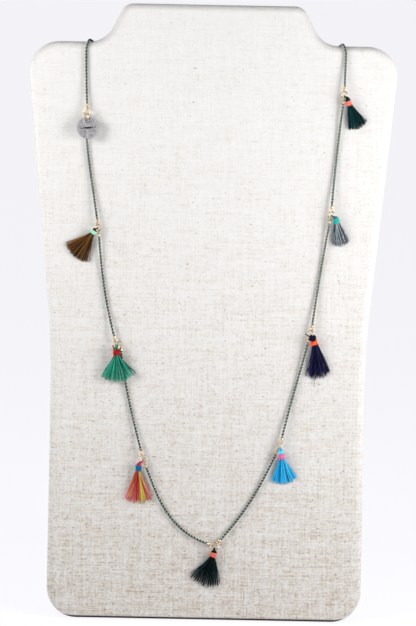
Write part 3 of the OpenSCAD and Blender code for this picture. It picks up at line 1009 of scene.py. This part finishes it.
def dyed(share, along):
    """The space-dyed thread's colours down its length, from its place in the skirt."""
    nearby = int(share * len(DYED) + rng.uniform(-1.5, 1.5))
    order = DYED[min(max(nearby, 0), len(DYED) - 1)].split()
    stops = np.linspace(0, 1, len(order))
    shades = np.array([linear(DYES[name]) for name in order])
    at = np.clip(along * 1.15 - 0.08 + rng.uniform(-0.12, 0.12), 0, 1)
    return np.stack([np.interp(at, stops, shades[:, k]) for k in range(4)], axis=1)


def skirt_thread(t, neck, share, layer, stray, longer):
    """The path of one thread from inside the binding to its tip."""
    root, run, across = neck
    skirt = SKIRTS[t.name]
    thick = skirt.thick / 2
    aside = 2 * share - 1
    lock = (math.floor(share * LOCKS) + 0.5) / LOCKS
    angle = t.left + (t.right - t.left) * (share + skirt.gather * (lock - share))
    reach = t.long * SKIRT_LEN * (1 - 0.08 * aside ** 2 - 0.04 * layer)
    reach *= longer * (1 + rng.uniform(-skirt.ragged, 0.4 * skirt.ragged) + 0.03 * stray)
    reach *= 1 + 0.5 * skirt.gather * skirt.ragged * math.sin(40 * lock)
    rim = wide(t) / 2 - thick - SKIRT_INSET
    leave = root + across * aside * rim
    leave = leave + OUT * (layer - 0.5) * 2 * rim * math.sqrt(max(0.1, 1 - aside ** 2))
    tip = root + reach * course(angle) + across * aside * (0.33 * wide(t) + 0.5) * skirt.flare
    tip[2] = tips_lift(t) - LOCK_D / 2 + thick + layer * (LOCK_D * 1.1 - 2 * thick)
    flat = unit((tip - leave) * [1, 1, 0])
    bend = leave + 0.16 * reach * unit(0.5 * run + 0.5 * flat)
    near = tip - 0.4 * reach * flat
    near[2] = tip[2] + LOCK_D * (0.1 + 0.4 * layer)
    path = np.concatenate([[leave - run * 0.5 * tall(t)], bezier(leave, bend, near, tip, 14)])
    along = np.linspace(0, 1, len(path))
    swing = skirt.wave * (1 + 2.2 * stray) * along ** 1.3
    phase, rate = rng.uniform(0, 6.3), rng.uniform(3.5, 8.0)
    path += (swing * np.sin(rate * along + phase))[:, None] * course(angle + 90)
    path += (0.4 * swing * np.sin(rate * along + 2 * phase))[:, None] * OUT
    path[:, 2] = np.maximum(path[:, 2], thick + 0.5 * REST)
    return path, along


def add_skirt_thread(shape, t, neck, share, layer, stray, longer=1.0):
    skirt = SKIRTS[t.name]
    path, along = skirt_thread(t, neck, share, layer, stray, longer)
    taper = np.where(along > 0.97, 0.75, 1.0) * (1 + 0.12 * np.sin(3 * along + 20 * layer))
    radius = skirt.thick / 2 * taper * (0.6 if stray else rng.uniform(0.8, 1.1))
    # Tone differs at random from thread to thread, plus painted shade: threads lower in the skirt,
    # and each thread near the binding, are darker.
    values = {"tone": 0.04 + 0.78 * rng.random() + 0.1 * layer + 0.1 * along}
    if t.name == "rainbow":
        values["tint"] = dyed(min(max(share, 0), 0.999), along)
    add_tube(shape, path, radius, 6, OUT, **values)


def add_skirt(shape, t, neck):
    """The skirt below a neck, which is its middle, its direction down and the one across."""
    skirt = SKIRTS[t.name]
    for i in range(skirt.threads):
        share = min(max((i + 0.5 + rng.uniform(-0.9, 0.9)) / skirt.threads, 0), 1)
        add_skirt_thread(shape, t, neck, share, rng.random(), 0.0)
    for i in range(skirt.strays):
        share = -0.06 * rng.random() if i % 2 else 1 + 0.06 * rng.random()
        add_skirt_thread(shape, t, neck, share, rng.uniform(0.1, 0.6), 1.0)
    for share, longer in LONG_THREADS.get(t.name, []):
        add_skirt_thread(shape, t, neck, share, 0.3, 0.4, longer)


def add_head(shape, t, top, run, across):
    """Threads from the binding round the ring's wire and back, over a core of the same."""
    skirt = SKIRTS[t.name]
    eye, wire = hanging_point(t)
    to_head = top - eye
    a = unit(to_head - (to_head @ wire) * wire)
    b = np.cross(wire, a)
    rim = wide(t) / 2 - HEAD_INSET
    # The threads' radius, and how near the rim they leave the binding
    radius, narrow = (0.16, 0.2) if skirt.ball else (0.2, 0.95)
    start = top + run * 0.5
    low = top - 0.35 * (top - eye - a * EYE_R)
    turns = np.radians(np.linspace(52, 308, 9))
    for i in range(HEAD_THREADS):
        drift = 0.3 * math.cos(2.4 * i)
        rise = 0.26 * math.sin(2.4 * i)
        loop = [eye + (EYE_R + rise) * sweep(x, a, b) + drift * wire for x in turns]
        out = rim * sweep(2 * math.pi * i / HEAD_THREADS, across, OUT)
        knots = [start + out, low + narrow * out, *loop, low - narrow * out, start - out]
        path = smooth(knots, 30)
        values = {"tone": 0.2 + 0.55 * rng.random()}
        if t.name == "rainbow":
            values["tint"] = [linear(DYES[HEAD_DYES[i % len(HEAD_DYES)]])]
        add_tube(shape, path, radius, 6, **values)
    add_core(shape, t, eye + a * EYE_R, top, run, 0.25 * rim if skirt.ball else rim)
    if skirt.ball:
        knot = top - run * 0.78 * skirt.ball
        add_ball(shape, knot, skirt.ball, 0.8 if t.name == "sky" else 0.2)
        for heading, length in KNOT_ENDS.get(t.name, []):
            side = knot + course(heading) * skirt.ball
            end = side + course(heading) * length + OUT
            add_tube(shape, smooth([knot, side, end], 10), 0.3, 6, tone=0.3)


def add_ball(shape, middle, size, tone):
    """A knot: threads wound round a ball of the same in every direction."""
    ball, faces = ball_mesh(size - BALL_INSET, 9, 16, 84)
    # The ball inside is darker than most threads round it: painted shade between them.
    shape.add(middle + ball, faces, tone=tone)
    for _ in range(round(BALL_TURNS * size)):
        x = unit(np.array([rng.gauss(0, 1) for _ in range(3)]))
        y = unit(np.cross(x, [rng.gauss(0, 1) for _ in range(3)]))
        turn = np.radians(np.linspace(0, rng.uniform(150, 340), 22))[:, None]
        reach = size - rng.uniform(0.22, 0.36)
        path = middle + reach * sweep(turn, x, y)
        path = path + np.cross(x, y) * rng.uniform(-0.35, 0.35) * size * np.sin(turn / 2)
        path = middle + (path - middle) * reach / norm(path - middle, axis=1)[:, None]
        add_tube(shape, path, BALL_THREAD / 2, 6, tone=tone + 0.5 * rng.random())


def smooth(knots, count):
    """A rounded path near the knots, through the first and the last one."""
    path = resample(knots, 3 * count)
    for _ in range(10):
        path[1:-1] = 0.25 * path[:-2] + 0.5 * path[1:-1] + 0.25 * path[2:]
    return resample(path, count)


def add_core(shape, t, hold, top, run, rim):
    """The solid middle of the head, from the thread loop to the binding."""
    path = resample([hold, 0.65 * hold + 0.35 * top, top - 0.1 * run, top + run * 0.5], 9)
    along = np.linspace(0, 1, 9)
    widths = np.interp(along, np.linspace(0, 1, 4), [0.4, 0.6 * rim, 0.9 * rim, 0.9 * rim])
    # The core is darker than most threads over it: painted shade in the gaps between them.
    values = {"tone": 0.2}
    if t.name == "rainbow":
        values["tint"] = dyed(0.36, along)
    add_tube(shape, path, widths, 12, **values)


def make_tassel(t, material):
    middle, run, across = binding_place(t)
    top = middle - run * (tall(t) / 2 + PLAY)
    root = middle + run * (tall(t) / 2 + PLAY)
    shape = Shape()
    add_skirt(shape, t, (root, run, across))
    add_head(shape, t, top, run, across)
    shape.build(f"floss_{t.name}", [f"tassel_{t.name}"], material)


# Loose ends of the bindings: where along the band they leave it, their heading, length and radius
LOOSE_ENDS = {
    "brown": [(-0.2, -70, 1.6, 0.2)],
    "green": [(-0.45, -158, 3.2, 0.4), (0.5, -28, 2.8, 0.36), (0.4, 52, 2.2, 0.34),
              (-0.35, 140, 1.6, 0.3)],
    "rainbow": [(-0.5, -95, 1.0, 0.2)],
    "pine": [(0.5, 40, 1.2, 0.2)],
    "sky": [(0.4, -60, 1.4, 0.2), (0.2, 75, 1.2, 0.2)],
    "navy": [(-0.1, -62, 2.2, 0.22)],
    "grey": [(-0.5, 150, 1.2, 0.2)],
    "forest": [(0.1, -80, 1.4, 0.2)],
}
# Turns of thread that cross the band at a slant, which make a knot of it
CROSSINGS = {"green": 9, "brown": 2, "navy": 2, "sky": 2}
BAND_THREAD = 0.5
BAND_PITCH = 0.86
CORE_INSET = 0.05


def make_binding(t, material):
    """Turns of thread side by side round the tassel's neck, with a crossing turn and loose ends."""
    middle, run, across = binding_place(t)
    front = np.cross(run, across)
    radius = wide(t) / 2 - BAND_THREAD / 2
    height = tall(t) - BAND_THREAD
    turns = max(3, round(height / (BAND_PITCH * BAND_THREAD)))
    shape = Shape()
    angle = np.linspace(0, 2 * math.pi * turns, 30 * turns)[:, None]
    rise = np.linspace(-height / 2, height / 2, 30 * turns)[:, None]
    wobble = 0.05 * np.sin(angle * 0.37 + 1)
    coil = middle + run * (rise + wobble) + radius * sweep(angle, across, front)
    tone = 0.5 + 0.14 * np.sin(np.floor(angle[:, 0] / (2 * math.pi)) * 2.3)
    add_tube(shape, coil, BAND_THREAD / 2, 7, tone=tone)
    half_turn = np.radians(np.linspace(-25, 205, 20))[:, None]
    for k in range(CROSSINGS.get(t.name, 1)):
        slant = height * rng.uniform(-0.5, 0.5)
        lift = radius + 0.12 + 0.05 * k
        over = middle + run * (slant * np.cos(half_turn) + height * rng.uniform(-0.2, 0.2))
        over = over + lift * sweep(half_turn, across, front)
        add_tube(shape, over, BAND_THREAD / 2, 7, tone=rng.uniform(0.35, 0.8))
    # The core is darker than the turns round it: painted shade in the gaps between them.
    core = [middle + way * run * (tall(t) / 2 - CORE_INSET) for way in (-1, 1)]
    add_tube(shape, core, radius - CORE_INSET, 24, tone=0.2)
    for share, heading, length, thick in LOOSE_ENDS[t.name]:
        side = math.copysign(1, sine(heading - t.turn))
        start = middle + run * share * height + across * side * 0.7 * radius + front * 0.7 * radius
        way = course(heading)
        end = start + way * length - OUT * 0.5
        bend = start + 0.5 * way * length + OUT * 0.2
        knots = [start - way * 0.7 - front * 0.3, start, bend, end]
        add_tube(shape, smooth(knots, 10), thick, 6, tone=0.6)
    shape.build(f"wound_{t.name}", [f"binding_{t.name}"], material)


# Stage, light and camera

TABLE_SIZE = 60


def make_stage():
    """A large white table top, lit by itself too, so that it stays white far from the lamps."""
    bpy.ops.mesh.primitive_plane_add(size=TABLE_SIZE)
    table = bpy.context.object
    table.name = "table_top"
    table.data.materials.append(Nodes("table_top").set(
        Base_Color=(112, 112, 114), Roughness=0.9, Specular_IOR_Level=0.1,
        Emission_Color=(247, 247, 251), Emission_Strength=0.93))


def make_world():
    """A bright room, darker on the side that the board faces."""
    m = Nodes("room", bpy.data.worlds, "Background")
    way = m.parts(m.add("TexCoord").outputs["Generated"])
    light = m.scale(way[2], 0.6, m.scale(way[1], 0.2, 0.2))
    colour = m.ramp(light, [(0.14, 0.2), (0.7, 1.0)])
    bpy.context.scene.world = m.set(Color=colour, Strength=0.2)


# The lamps' size and their distances from the board's middle, with the height that they light
LAMP_SIZE = 0.28
LAMP_ASIDE = 0.42
LAMP_BEFORE = 0.26
LAMP_AIM = 0.2


def make_lamps():
    """Two soft lamps far to the sides, so that each piece casts its shadow along the face."""
    for name, side, power, height in (("left", -1, 1.8, 0.42), ("right", 1, 2.18, 0.32)):
        light = bpy.data.lights.new(f"lamp_{name}", "AREA")
        light.energy = power
        light.shape = "DISK"
        light.size = LAMP_SIZE
        lamp = new_object(f"lamp_{name}", light)
        lamp.location = (side * LAMP_ASIDE, -LAMP_BEFORE, height)
        towards = lamp.location - Vector((0, 0, LAMP_AIM))
        lamp.rotation_euler = towards.to_track_quat("Z", "Y").to_euler()


# The photograph's middle on the board, its height there and its roll, seen square on
VIEW_U = -0.56
VIEW_V = 185.4
VIEW_H = 375.6
VIEW_ROLL = 1.1
VIEW_FAR = 1200


def make_camera():
    data = bpy.data.cameras.new("camera")
    data.sensor_width = 36
    data.lens = data.sensor_width * VIEW_FAR / VIEW_H
    data.clip_start = 0.05
    data.clip_end = 100
    camera = new_object("camera", data)
    eye, aim = to_world([[VIEW_U, VIEW_V, VIEW_FAR], [VIEW_U, VIEW_V, 0]])
    across, up = cosine(VIEW_ROLL), sine(VIEW_ROLL)
    right = Vector((across, up * SIN, up * COS))
    back = Vector(eye - aim).normalized()
    turned = Matrix((right, back.cross(right), back)).transposed()
    camera.matrix_world = Matrix.Translation(Vector(eye)) @ turned.to_4x4()
    bpy.context.scene.camera = camera


make_camera()
make_stage()
make_world()
make_lamps()
bpy.context.scene.view_settings.view_transform = "Standard"

linen = linen_material("linen", 1.0)
make_board(linen)
make_leg(linen_material("linen_leg", 0.98))

gold = metal_material("pale_gold", (236, 217, 184), (162, 130, 94), 0.26)
chain_gold = metal_material("rose_gold", (232, 214, 190), (176, 146, 116), 0.4)
winding = thread_material("winding", [(2, 20, 22), (12, 60, 62), (62, 128, 126)])
make_chains(chain_gold, winding)
for s in STATIONS:
    make_ring(s, gold)
    make_crimp(s, -1, gold)
    make_crimp(s, 1, gold)
make_coin_ring(gold)
make_coin(coin_material())

for t in TASSELS:
    make_tassel(t, thread_material(f"{t.name}_floss", THREADS.get(t.name)))
    band, colours = BANDS[t.name]
    make_binding(t, thread_material(f"{band}_floss", colours))
